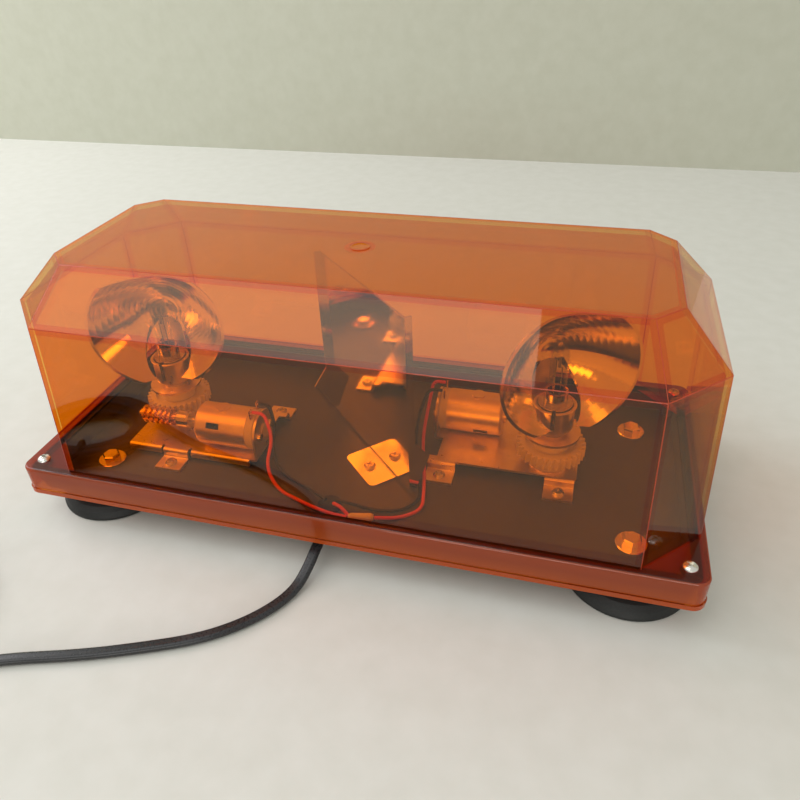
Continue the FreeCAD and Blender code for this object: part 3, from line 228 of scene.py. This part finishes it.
# materials: colours are sRGB, sizes are in millimetres, roughness runs from low to high
looks = {
    # powder-coated steel tray: even satin black, faint orange peel
    "trayPowderCoat": {"dark": "484640", "light": "54514A", "grainSize": 3.0, "driftSize": 60,
                       "detail": 0.0, "roughness": (0.37, 0.4), "relief": 0.004},
    # moulded EPDM rubber: dull and dusty
    "mouldedRubber": {"dark": "121312", "light": "1D1E1D", "grainSize": 0.6,
                      "roughness": (0.5, 0.7), "relief": 0.2},
    # zinc plate with a yellow passivation on cold-rolled steel: bright and a little cloudy
    "zincPlatedSteel": {"dark": "ECDDAC", "light": "FAF0CE", "grainSize": 5.0, "driftSize": 16,
                        "roughness": (0.27, 0.33), "relief": 0.004, "metallic": 1.0},
    # zinc-plated bolts and washers: bright, with a sharp glint on each flat
    "boltZinc": {"dark": "EFE2BC", "light": "FBF3DC", "grainSize": 1.5, "driftSize": 10,
                 "roughness": (0.12, 0.2), "relief": 0.01, "metallic": 1.0},
    # drawn steel motor can, zinc plated: satin, brightest along its crown
    "zincPlatedCan": {"dark": "F0DFAE", "light": "FBF0CE", "grainSize": 2.4, "driftSize": 18,
                      "roughness": (0.3, 0.42), "relief": 0.01, "metallic": 1.0},
    # nickel-plated screws: bright, a little uneven
    "nickelPlatedSteel": {"dark": "D6D3CA", "light": "EDEAE2", "grainSize": 0.8,
                          "roughness": (0.14, 0.26), "relief": 0.02, "metallic": 1.0},
    # rolled bright stainless sheet, nearly a mirror
    "mirrorStainless": {"dark": "DCD6CC", "light": "F0ECE4", "grainSize": 6.0, "driftSize": 40,
                        "roughness": (0.04, 0.1), "relief": 0.01, "metallic": 1.0},
    # vacuum-metallised bowl: silver-bright with a soft waviness
    "metallisedReflector": {"dark": "F6EFD8", "light": "FDFAEE", "grainSize": 12.0, "driftSize": 40,
                            "roughness": (0.1, 0.15), "relief": 0.006, "metallic": 1.0},
    # red PVC lead: soft sheen
    "redPvc": {"dark": "E23A24", "light": "F4583C", "grainSize": 0.7,
               "roughness": (0.3, 0.45), "relief": 0.1},
    # black PVC lead: soft sheen
    "blackPvc": {"dark": "141414", "light": "1E1E1E", "grainSize": 0.7,
                 "roughness": (0.3, 0.45), "relief": 0.1},
    # black PVC flex sheath, extruded: smooth, with a satin streak of light
    "flexPvc": {"dark": "1F1F21", "light": "2B2B2E", "grainSize": 1.5,
                "roughness": (0.24, 0.34), "relief": 0.03},
    # natural nylon crimp cover, moulded: pale and waxy
    "nylonCrimp": {"dark": "E2DCC8", "light": "F2EEDF", "grainSize": 0.8,
                   "roughness": (0.25, 0.4), "relief": 0.1},
    # black moulded ABS plug shell: fine spark-eroded texture
    "mouldedAbs": {"dark": "161618", "light": "212124", "grainSize": 0.35,
                   "roughness": (0.4, 0.55), "relief": 0.3},
    # nickel-plated spring contacts: bright where they rub
    "nickelSpring": {"dark": "C9C2B2", "light": "E2DCCB", "grainSize": 0.6, "roughness": (0.14, 0.28),
                     "relief": 0.08, "metallic": 1.0},
    # sintered ferrite magnet: matt charcoal
    "sinteredFerrite": {"dark": "2B2B2D", "light": "3A3A3B", "grainSize": 0.3,
                        "roughness": (0.6, 0.75), "relief": 0.4},
    # moulded nylon motor end cap: off-white, half dull
    "mouldedNylon": {"dark": "D8D4C6", "light": "E8E4D8", "grainSize": 0.6,
                     "roughness": (0.35, 0.5), "relief": 0.12},
    # turned brass: warm, with tool lines
    "turnedBrass": {"dark": "E6C67C", "light": "F6DFA4", "grainSize": 1.0, "roughness": (0.2, 0.3),
                    "relief": 0.02, "metallic": 1.0, "stretch": (1, 1, 0.2)},
    # milky acetal wheel: waxy
    "acetal": {"dark": "E4E0D4", "light": "F1EEE5", "grainSize": 0.8,
               "roughness": (0.3, 0.42), "relief": 0.1},
    # coiled tungsten: dull dark grey metal
    "drawnTungsten": {"dark": "8A8680", "light": "A29E97", "grainSize": 0.3, "roughness": (0.3, 0.45),
                      "relief": 0.1, "metallic": 1.0},
}
opaqueDefaults = {"driftSize": 25, "detail": 4.0, "stretch": (1, 1, 1), "metallic": 0.0}

clearLooks = {
    # amber acrylic, injection moulded and polished: saturated orange, deeper with every wall
    "amberAcrylic": {"tint": "FAD384"},
    # the same plastic within a wall's thickness of a corner, seen along its sheet: deeper
    "amberAcrylicCorner": {"tint": "F5AE44"},
    # the roof plate, dulled by handling: a milky orange haze
    "amberAcrylicTop": {"tint": "FAD384", "gloss": 0.06, "body": 0.34,
                        "bodyLow": "C86D2F", "bodyHigh": "CE7030"},
    # rounded edges: a painted glow, a red-orange line that stands in for the light they gather from the
    # whole sheet, painted lighter towards the top
    "amberAcrylicEdge": {"tint": "F08048", "gloss": 0.1, "body": 0.8, "bodyLow": "B8401E",
                         "bodyHigh": "D2562C", "bodyZ": (50, 120)},
    # lip, seen through its full depth: dense brick orange, with a painted glow that makes it brightest at
    # its foot
    "amberAcrylicLip": {"tint": "EE9050", "gloss": 0.08, "body": 0.75, "bodyLow": "DA6420",
                        "bodyHigh": "B85228", "bodyZ": (21, 36)},
    # flange between the walls and the lip, over the dark gasket: deep red-brown
    "amberAcrylicFlange": {"tint": "E88A58", "gloss": 0.05, "body": 0.3, "bodyLow": "8A2410",
                           "bodyHigh": "962C16", "bodyZ": (30, 40)},
    # fused quartz lamp envelope, flame polished: clear, with a hard glint
    "fusedQuartz": {"tint": "FBFBF8", "gloss": 0.01, "ior": 1.46, "waveSize": 20.0},
}
clearDefaults = {"gloss": 0.015, "ior": 1.49, "waveSize": 60.0, "body": 0.0, "bodyZ": (0, 200),
                 "cloudSize": 55.6}


def finishMaterial(name, look):
    # one coat on Object coordinates: a slow colour drift, a grain that sets the
    # roughness, and a fine relief
    look = {**opaqueDefaults, **look}
    material, tree = newMaterial(name)
    place = addNode(tree, "ShaderNodeTexCoord").outputs["Object"]
    drift = addNode(tree, "ShaderNodeTexNoise",
                    {"Vector": place, "Scale": 1000 / look["driftSize"], "Detail": 3.0})
    colour = addNode(tree, "ShaderNodeValToRGB", {"Fac": drift.outputs["Fac"]},
                     stops=[(0.35, look["dark"]), (0.65, look["light"])])
    stretch = addNode(tree, "ShaderNodeMapping", {"Vector": place, "Scale": look["stretch"]})
    grain = addNode(tree, "ShaderNodeTexNoise",
                    {"Vector": stretch.outputs["Vector"], "Scale": 1000 / look["grainSize"],
                     "Detail": look["detail"]})
    low, high = look["roughness"]
    rough = addNode(tree, "ShaderNodeMapRange",
                    {"Value": grain.outputs["Fac"], "From Min": 0.3, "From Max": 0.7,
                     "To Min": low, "To Max": high})
    relief = addNode(tree, "ShaderNodeBump",
                     {"Height": grain.outputs["Fac"], "Strength": look["relief"], "Distance": 0.0001})
    shader = addNode(tree, "ShaderNodeBsdfPrincipled",
                     {"Base Color": colour.outputs["Color"], "Roughness": rough.outputs["Result"],
                      "Normal": relief.outputs["Normal"], "Metallic": look["metallic"]})
    addNode(tree, "ShaderNodeOutputMaterial", {"Surface": shader.outputs["BSDF"]})
    return material


def milkyBody(tree, through, look):
    # the share of light that the plastic scatters itself, forward and back, with a colour that runs from
    # bodyLow up to bodyHigh between the heights in bodyZ; on the edges and the lip this ramp is a painted
    # glow, lighter towards the edges' tops and towards the lip's foot
    place = addNode(tree, "ShaderNodeTexCoord").outputs["Object"]
    height = addNode(tree, "ShaderNodeSeparateXYZ", {"Vector": place})
    cloud = addNode(tree, "ShaderNodeTexNoise",
                    {"Vector": place, "Scale": 1000 / look["cloudSize"], "Detail": 2.0})
    foot, head = look["bodyZ"]
    climb = addNode(tree, "ShaderNodeMapRange",
                    {"Value": height.outputs["Z"], "From Min": foot / 1000, "From Max": head / 1000})
    drift = addNode(tree, "ShaderNodeMath",
                    {0: cloud.outputs["Fac"], 1: 0.4, 2: climb.outputs["Result"]},
                    operation="MULTIPLY_ADD")
    colour = addNode(tree, "ShaderNodeValToRGB", {"Fac": drift.outputs["Value"]},
                     stops=[(0.1, look["bodyLow"]), (1.0, look["bodyHigh"])]).outputs["Color"]
    front = addNode(tree, "ShaderNodeBsdfDiffuse", {"Color": colour})
    back = addNode(tree, "ShaderNodeBsdfTranslucent", {"Color": colour})
    milk = addNode(tree, "ShaderNodeMixShader",
                   {"Fac": 0.4, 1: front.outputs["BSDF"], 2: back.outputs["BSDF"]})
    mixed = addNode(tree, "ShaderNodeMixShader",
                    {"Fac": look["body"], 1: through, 2: milk.outputs["Shader"]})
    return mixed.outputs["Shader"]


def polishedSkin(tree, through, look):
    # a gloss over what shows through: it reflects more towards the edge-on view
    place = addNode(tree, "ShaderNodeTexCoord").outputs["Object"]
    wave = addNode(tree, "ShaderNodeTexNoise",
                   {"Vector": place, "Scale": 1000 / look["waveSize"], "Detail": 2.0})
    relief = addNode(tree, "ShaderNodeBump",
                     {"Height": wave.outputs["Fac"], "Strength": 0.04, "Distance": 0.0002})
    edgeOn = addNode(tree, "ShaderNodeLayerWeight", {"Blend": 0.5, "Normal": relief.outputs["Normal"]})
    curve = addNode(tree, "ShaderNodeMath", {0: edgeOn.outputs["Facing"], 1: 5.0}, operation="POWER")
    straight = ((look["ior"] - 1) / (look["ior"] + 1)) ** 2
    rim = addNode(tree, "ShaderNodeMath", {0: curve.outputs["Value"], 1: 1 - straight, 2: straight},
                  operation="MULTIPLY_ADD")
    shine = addNode(tree, "ShaderNodeBsdfAnisotropic",
                    {"Color": (1, 1, 1, 1), "Roughness": look["gloss"],
                     "Normal": relief.outputs["Normal"]})
    mixed = addNode(tree, "ShaderNodeMixShader",
                    {"Fac": rim.outputs["Value"], 1: through, 2: shine.outputs["BSDF"]})
    return mixed.outputs["Shader"]


def clearMaterial(name, look):
    # what is behind shows through, dimmed by the tint once at each surface
    look = {**clearDefaults, **look}
    material, tree = newMaterial(name)
    through = addNode(tree, "ShaderNodeBsdfTransparent", {"Color": hexColour(look["tint"])}).outputs["BSDF"]
    if look["body"]:
        through = milkyBody(tree, through, look)
    addNode(tree, "ShaderNodeOutputMaterial", {"Surface": polishedSkin(tree, through, look)})
    return material


coats = {name: finishMaterial(name, look) for name, look in looks.items()}
coats.update({name: clearMaterial(name, look) for name, look in clearLooks.items()})

slotFinish = {
    "dome": "amberAcrylic", "glass": "fusedQuartz", "tray": "trayPowderCoat", "rubber": "mouldedRubber",
    "bright_steel": "nickelPlatedSteel", "zinc_steel": "zincPlatedSteel", "mirror": "mirrorStainless",
    "red_pvc": "redPvc", "black_pvc": "blackPvc", "clear_crimp": "nylonCrimp", "cord": "flexPvc",
    "plug_plastic": "mouldedAbs", "nickel": "nickelSpring", "magnet": "sinteredFerrite",
    "motor_cap": "mouldedNylon", "brass": "turnedBrass", "tungsten": "drawnTungsten",
    "gear": "acetal", "worm": "turnedBrass", "reflector": "metallisedReflector",
}
for subpart in frame["record"]["subparts"]:
    dress(nodes[subpart["node"]], coats[slotFinish[subpart["material_slot"]]])
for side in ("left", "right"):
    dress(nodes["motor_can_" + side], coats["zincPlatedCan"])
dress(powerCord, coats["flexPvc"])
print("materials assigned:", len(coats), "finishes")

# lens: the dome again, with its thick corners, cut edges, flange and lip told apart
lens = {
    "cornerBand": 0.0030,      # as wide as the wall is thick
    "panelArea": 0.0005,       # square metres: larger faces are the flat panels
    "edgeWidth": 0.0008,       # narrower faces are the rounded edges
    "flatAngle": 0.4,          # degrees: facets of one flat panel differ by less
    "centre": (0, 0, 0.09),    # faces that look away from it are the outside
    "roofBand": 0.0006,        # the roof is this near to the highest point
    "lipHeight": 0.0145,       # from the lip's foot to the top of the flange
    "beadHeight": 0.0040,      # the lip's foot up to here is let down by lipDrop
    "lipDrop": 0.0045,
    "lipInside": (0.199, 0.088),   # half length and half width of what the lip stands round
    "finishes": ["amberAcrylic", "amberAcrylicCorner", "amberAcrylicTop", "amberAcrylicEdge",
                 "amberAcrylicLip", "amberAcrylicFlange"],
}


def longestSide(face):
    return max(edge.calc_length() for edge in face.edges)


def lensPiece():
    low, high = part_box("lens_dome")
    flangeTop = low.z + lens["lipHeight"]
    edge = lens["edgeWidth"]
    wall, corner, roof, rounded, lip, flange = range(len(lens["finishes"]))
    shell = bmesh.new()
    shell.from_mesh(nodes["lens_dome"].data)
    bmesh.ops.remove_doubles(shell, verts=shell.verts, dist=1e-6)
    bmesh.ops.dissolve_limit(shell, angle_limit=math.radians(lens["flatAngle"]),
                             verts=shell.verts, edges=shell.edges)
    panels = []
    for face in shell.faces:
        middle = face.calc_center_median()
        outside = face.normal.dot(middle - Vector(lens["centre"])) > 0
        face.smooth = False
        face.material_index = wall
        if middle.z > flangeTop + edge:
            if face.calc_area() > lens["panelArea"]:
                if outside:
                    panels.append(face)
                if middle.z > high.z - lens["roofBand"]:
                    face.material_index = roof
            elif outside and face.calc_area() < edge * longestSide(face):
                face.material_index = rounded
                face.smooth = True
        elif face.normal.z > 0.9 and middle.z > flangeTop - edge / 2:
            face.material_index = flange
        elif outside:
            face.material_index = lip
    band = bmesh.ops.inset_region(shell, faces=panels, thickness=lens["cornerBand"],
                                  use_boundary=True, use_even_offset=True)
    for face in band["faces"]:
        face.material_index = corner
    insideX, insideY = lens["lipInside"]
    for vertex in shell.verts:
        onLip = abs(vertex.co.x) > insideX or abs(vertex.co.y) > insideY
        if onLip and vertex.co.z < low.z + lens["beadHeight"]:
            vertex.co.z -= lens["lipDrop"]
    data = bpy.data.meshes.new("lensShell")
    shell.to_mesh(data)
    shell.free()
    for finish in lens["finishes"]:
        data.materials.append(coats[finish])
    return addPiece("lensShell", data)


lensShell = lensPiece()
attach(lensShell, "base")
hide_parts("lens_dome")
print("lens dressed:", len(lensShell.data.polygons), "faces")

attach(powerCord, "base")
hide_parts("power_cord", "cord_tail", "cord_coil")

# tie: a nylon strap drawn round all the coil's turns, with its square lock outside;
# millimetres, as radius from the coil's centre and height over the floor
tie = {
    "angle": 68,               # where on the coil, degrees
    "radii": (25.6, 46.6),     # just inside and outside the turns
    "crown": 36,               # radius of the middle turn
    "heights": (0.5, 14.2),
    "corner": 1.5,             # how soon the strap leaves each corner
    "strap": (0.8, 2.6),       # thickness, width
    "lock": (4.4, 4.6, 3.4),   # depth, width, height
    "lockPlace": (47.8, 7.5),
    "lockBevel": 0.5,
    "strapEnds": 0.5,          # how far over and under the lock's middle the strap ends
    "smoothness": 6,
}


def coilTie():
    angle = math.radians(tie["angle"])
    outward = Vector((math.cos(angle), math.sin(angle), 0))
    along = Vector((-math.sin(angle), math.cos(angle), 0))
    upward = Vector((0, 0, 1))
    centre = Vector((*cord["coilCentre"], 0))
    (near, far), (low, high), cut = tie["radii"], tie["heights"], tie["corner"]
    lockRadius, lockHeight = tie["lockPlace"]
    firstEnd, lastEnd = lockHeight - tie["strapEnds"], lockHeight + tie["strapEnds"]
    loop = [(far, firstEnd), (far, high - cut), (far - cut, high), (tie["crown"], high),
            (near + cut, high), (near, high - cut), (near, low + cut), (near + cut, low),
            (tie["crown"], low), (far - cut, low), (far, low + cut), (far, lastEnd)]
    points = [centre + outward * radius + upward * height for radius, height in loop]
    halfThick, halfWide = (size / 2 / 1000 for size in tie["strap"])
    corners = [(-halfThick, -halfWide), (halfThick, -halfWide), (halfThick, halfWide),
               (-halfThick, halfWide)]
    strap = sweepMesh("coilTie", splineLine("tieLine", points, tie["smoothness"]), corners, up=along)
    mesh = bmesh.new()
    mesh.from_mesh(strap.data)
    lock = bmesh.ops.create_cube(mesh, size=0.001)["verts"]
    depth, breadth, tall = tie["lock"]
    place = (centre + outward * lockRadius + upward * lockHeight) / 1000
    for vertex in lock:
        x, y, z = vertex.co
        vertex.co = place + outward * (x * depth) + along * (y * breadth) + upward * (z * tall)
    bmesh.ops.bevel(mesh, geom=list({edge for vertex in lock for edge in vertex.link_edges}),
                    offset=tie["lockBevel"] / 1000, segments=2, affect="EDGES")
    bmesh.ops.recalc_face_normals(mesh, faces=mesh.faces)
    mesh.to_mesh(strap.data)
    mesh.free()
    dress(strap, coats["mouldedAbs"])
    return strap


cordTie = coilTie()
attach(cordTie, "base")
print("coil tied")


def newGeometryTree(name, sizes):
    # a Geometry Nodes tree with one named input for each size
    tree = bpy.data.node_groups.new(name, "GeometryNodeTree")
    for label, value in sizes.items():
        kind = "NodeSocketVector" if isinstance(value, tuple) else "NodeSocketFloat"
        tree.interface.new_socket(label, in_out="INPUT", socket_type=kind).default_value = value
    tree.interface.new_socket("Geometry", in_out="OUTPUT", socket_type="NodeSocketGeometry")
    return tree, addNode(tree, "NodeGroupInput").outputs


def turnedPart(tree, sides, bottom, top, low, high):
    # a round or many-sided part that runs from one radius and height to another
    tall = addNode(tree, "ShaderNodeMath", {0: high, 1: low}, operation="SUBTRACT")
    lift = addNode(tree, "ShaderNodeCombineXYZ", {"Z": low})
    part = addNode(tree, "GeometryNodeMeshCone",
                   {"Vertices": sides, "Radius Bottom": bottom, "Radius Top": top,
                    "Depth": tall.outputs["Value"]})
    return addNode(tree, "GeometryNodeTransform",
                   {"Geometry": part.outputs["Mesh"],
                    "Translation": lift.outputs["Vector"]}).outputs["Geometry"]


def cornerSet(tree, sizes, body, material, seed):
    # one fastener at each corner of a grid, each turned by up to a full turn; ends the tree
    corners = addNode(tree, "GeometryNodeMeshGrid",
                      {"Size X": sizes["Spacing X"], "Size Y": sizes["Spacing Y"],
                       "Vertices X": 2, "Vertices Y": 2})
    turn = addNode(tree, "FunctionNodeRandomValue",
                   {"Min": (0, 0, 0), "Max": (0, 0, 6.28), "Seed": seed}, data_type="FLOAT_VECTOR")
    spread = addNode(tree, "GeometryNodeInstanceOnPoints",
                     {"Points": corners.outputs["Mesh"], "Instance": body,
                      "Rotation": turn.outputs["Value"]})
    seated = addNode(tree, "GeometryNodeTransform",
                     {"Geometry": spread.outputs["Instances"], "Translation": sizes["Seat"]})
    real = addNode(tree, "GeometryNodeRealizeInstances", {"Geometry": seated.outputs["Geometry"]})
    coat = addNode(tree, "GeometryNodeSetMaterial",
                   {"Geometry": real.outputs["Geometry"], "Material": material})
    addNode(tree, "NodeGroupOutput", {"Geometry": coat.outputs["Geometry"]})


def runTree(name, tree, values):
    # runs the tree on an empty mesh and keeps the result as a plain piece
    piece = addPiece(name, bpy.data.meshes.new(name + "Seed"))
    modifier = piece.modifiers.new(name, "NODES")
    modifier.node_group = tree
    for item in tree.interface.items_tree:
        if item.in_out == "INPUT":
            modifier[item.identifier] = values[item.name]
    depsgraph = bpy.context.evaluated_depsgraph_get()
    plain = bpy.data.meshes.new_from_object(piece.evaluated_get(depsgraph))
    piece.modifiers.remove(modifier)
    piece.data = plain
    plain.name = name
    return piece


# foot bolts: zinc-plated hexagon heads with a turned crown, each on a dished washer;
# heights are over the tray floor
footBolt = {
    "Washer Radius": 0.009, "Washer Rim Radius": 0.00846,
    "Washer Rim": 0.00112, "Washer Top": 0.0016,
    "Head Radius": 0.00577, "Crown Radius": 0.004847,
    "Head Top": 0.0048, "Crown Top": 0.0056,
    "Bolt Radius": 0.003, "Bolt Tip": -0.0185,
}
feet = {mount["name"]: mount["pos_m"] for mount in frame["record"]["mounts"]}
footBolt.update({
    "Spacing X": feet["foot_3"][0] - feet["foot_1"][0],
    "Spacing Y": feet["foot_3"][1] - feet["foot_1"][1],
    "Seat": (0.0, 0.0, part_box("foot_washers")[0].z),
})
boltTree, size = newGeometryTree("hexBolts", footBolt)
boltParts = [
    turnedPart(boltTree, 48, size["Washer Radius"], size["Washer Radius"], 0.0, size["Washer Rim"]),
    turnedPart(boltTree, 48, size["Washer Radius"], size["Washer Rim Radius"], size["Washer Rim"],
               size["Washer Top"]),
    turnedPart(boltTree, 6, size["Head Radius"], size["Head Radius"], size["Washer Top"],
               size["Head Top"]),
    turnedPart(boltTree, 6, size["Head Radius"], size["Crown Radius"], size["Head Top"],
               size["Crown Top"]),
    turnedPart(boltTree, 24, size["Bolt Radius"], size["Bolt Radius"], size["Bolt Tip"], 0.0),
]
boltBody = addNode(boltTree, "GeometryNodeJoinGeometry", {"Geometry": boltParts})
cornerSet(boltTree, size, boltBody.outputs["Geometry"], coats["boltZinc"], seed=7)
footBolts = runTree("footBolts", boltTree, footBolt)
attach(footBolts, "base")
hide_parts("foot_bolts", "foot_washers")

# lens screws: nickel-plated pan heads with a pressed cross recess; heights are over the flange
lensScrew = {
    "Spacing X": 0.386, "Spacing Y": 0.161, "Seat": (0.0, 0.0, 0.040),
    "Head Size": (0.004, 0.004, 0.0024),        # radius, radius, height
    "Recess Along X": (0.0046, 0.0009, 0.003),  # twice as high as the recess is deep
    "Recess Along Y": (0.0009, 0.0046, 0.003),
    "Bolt Radius": 0.002, "Bolt Tip": -0.014,
}
screwTree, size = newGeometryTree("panScrews", lensScrew)
ball = addNode(screwTree, "GeometryNodeMeshUVSphere", {"Segments": 40, "Rings": 20, "Radius": 1.0})
head = addNode(screwTree, "GeometryNodeTransform",
               {"Geometry": ball.outputs["Mesh"], "Scale": size["Head Size"]})
cube = addNode(screwTree, "GeometryNodeMeshCube", {"Size": (0.02, 0.02, 0.02)})
below = addNode(screwTree, "GeometryNodeTransform",
                {"Geometry": cube.outputs["Mesh"], "Translation": (0, 0, -0.01)})
headTop = addNode(screwTree, "ShaderNodeVectorMath", {0: size["Head Size"], 1: (0, 0, 1)},
                  operation="MULTIPLY")
cuts = [below.outputs["Geometry"]]
for recess in ("Recess Along X", "Recess Along Y"):
    bar = addNode(screwTree, "GeometryNodeMeshCube", {"Size": size[recess]})
    placedBar = addNode(screwTree, "GeometryNodeTransform",
                        {"Geometry": bar.outputs["Mesh"],
                         "Translation": headTop.outputs["Vector"]})
    cuts.append(placedBar.outputs["Geometry"])
panHead = addNode(screwTree, "GeometryNodeMeshBoolean",
                  {"Mesh 1": head.outputs["Geometry"], "Mesh 2": cuts}, operation="DIFFERENCE")
shank = turnedPart(screwTree, 24, size["Bolt Radius"], size["Bolt Radius"], size["Bolt Tip"], 0.0)
screwBody = addNode(screwTree, "GeometryNodeJoinGeometry",
                    {"Geometry": [panHead.outputs["Mesh"], shank]})
cornerSet(screwTree, size, screwBody.outputs["Geometry"], coats["nickelPlatedSteel"], seed=3)
lensScrews = runTree("lensScrews", screwTree, lensScrew)
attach(lensScrews, "base")
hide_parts("dome_screws")
print("fasteners made:", len(footBolts.data.polygons), len(lensScrews.data.polygons), "faces")

# studio: a pale bench top and a grey-green wall behind it, both in matt emulsion paint
studio = {
    "reach": 3,
    "floorZ": -0.0003,
    "wallY": 0.76,
    "wallHeights": (-0.1, 2.5),
    "speckSize": 16.7,         # millimetres
    "floorColours": ("D9D8D0", "DEDDD6"),
    "wallColours": ("BBBCAB", "C0C1B1"),
}


def stagePlane(name, corners, colours):
    data = bpy.data.meshes.new(name)
    data.from_pydata(corners, [], [(0, 1, 2, 3)])
    plane = addPiece(name, data)
    material, tree = newMaterial(name + "Paint")
    place = addNode(tree, "ShaderNodeTexCoord").outputs["Object"]
    speck = addNode(tree, "ShaderNodeTexNoise",
                    {"Vector": place, "Scale": 1000 / studio["speckSize"], "Detail": 5.0})
    tone = addNode(tree, "ShaderNodeValToRGB", {"Fac": speck.outputs["Fac"]},
                   stops=[(0.3, colours[0]), (0.7, colours[1])])
    paint = addNode(tree, "ShaderNodeBsdfPrincipled",
                    {"Base Color": tone.outputs["Color"], "Roughness": 0.75})
    addNode(tree, "ShaderNodeOutputMaterial", {"Surface": paint.outputs["BSDF"]})
    dress(plane, material)


reach, floorZ, wallY = studio["reach"], studio["floorZ"], studio["wallY"]
wallFoot, wallTop = studio["wallHeights"]
stagePlane("floor", [(-reach, -reach, floorZ), (reach, -reach, floorZ), (reach, reach, floorZ),
                     (-reach, reach, floorZ)], studio["floorColours"])
stagePlane("backdrop", [(-reach, wallY, wallFoot), (reach, wallY, wallFoot), (reach, wallY, wallTop),
                        (-reach, wallY, wallTop)], studio["wallColours"])
print("stage set")

# lamps: soft rectangles, in metres and watts
lamps = {
    "ceilingPanel": {"place": (-1.3, -1.25, 2.2), "aim": (-1.3, -1.25, 0), "size": (2.6, 1.9),
                     "power": 25.0, "colour": "FFFFFF"},
    "sideWindow": {"place": (-1.6, 0.2, 1.1), "aim": (0, 0, 0.1), "size": (1.0, 1.0),
                   "power": 14.0, "colour": "F8F8FF"},
    "frontWindow": {"place": (0.3, -2.9, 0.6), "aim": (0, 0, 0.1), "size": (1.9, 0.5),
                    "power": 14.0, "colour": "FFFDF6"},
}
for name, lamp in lamps.items():
    lampData = bpy.data.lights.new(name, "AREA")
    lampData.shape = "RECTANGLE"
    lampData.size, lampData.size_y = lamp["size"]
    lampData.energy = lamp["power"]
    lampData.color = hexColour(lamp["colour"])[:3]
    source = addPiece(name, lampData)
    source.location = lamp["place"]
    beam = Vector(lamp["aim"]) - Vector(lamp["place"])
    source.rotation_euler = beam.to_track_quat("-Z", "Y").to_euler()

# world: an even pale grey room
room = {"colour": "E6E7E2", "strength": 0.8}
scene.world = bpy.data.worlds.new("studio")
scene.world.use_nodes = True
roomTree = scene.world.node_tree
roomTree.nodes.clear()
glow = addNode(roomTree, "ShaderNodeBackground",
               {"Color": hexColour(room["colour"]), "Strength": room["strength"]})
addNode(roomTree, "ShaderNodeOutputWorld", {"Surface": glow.outputs["Background"]})
print("lights set")
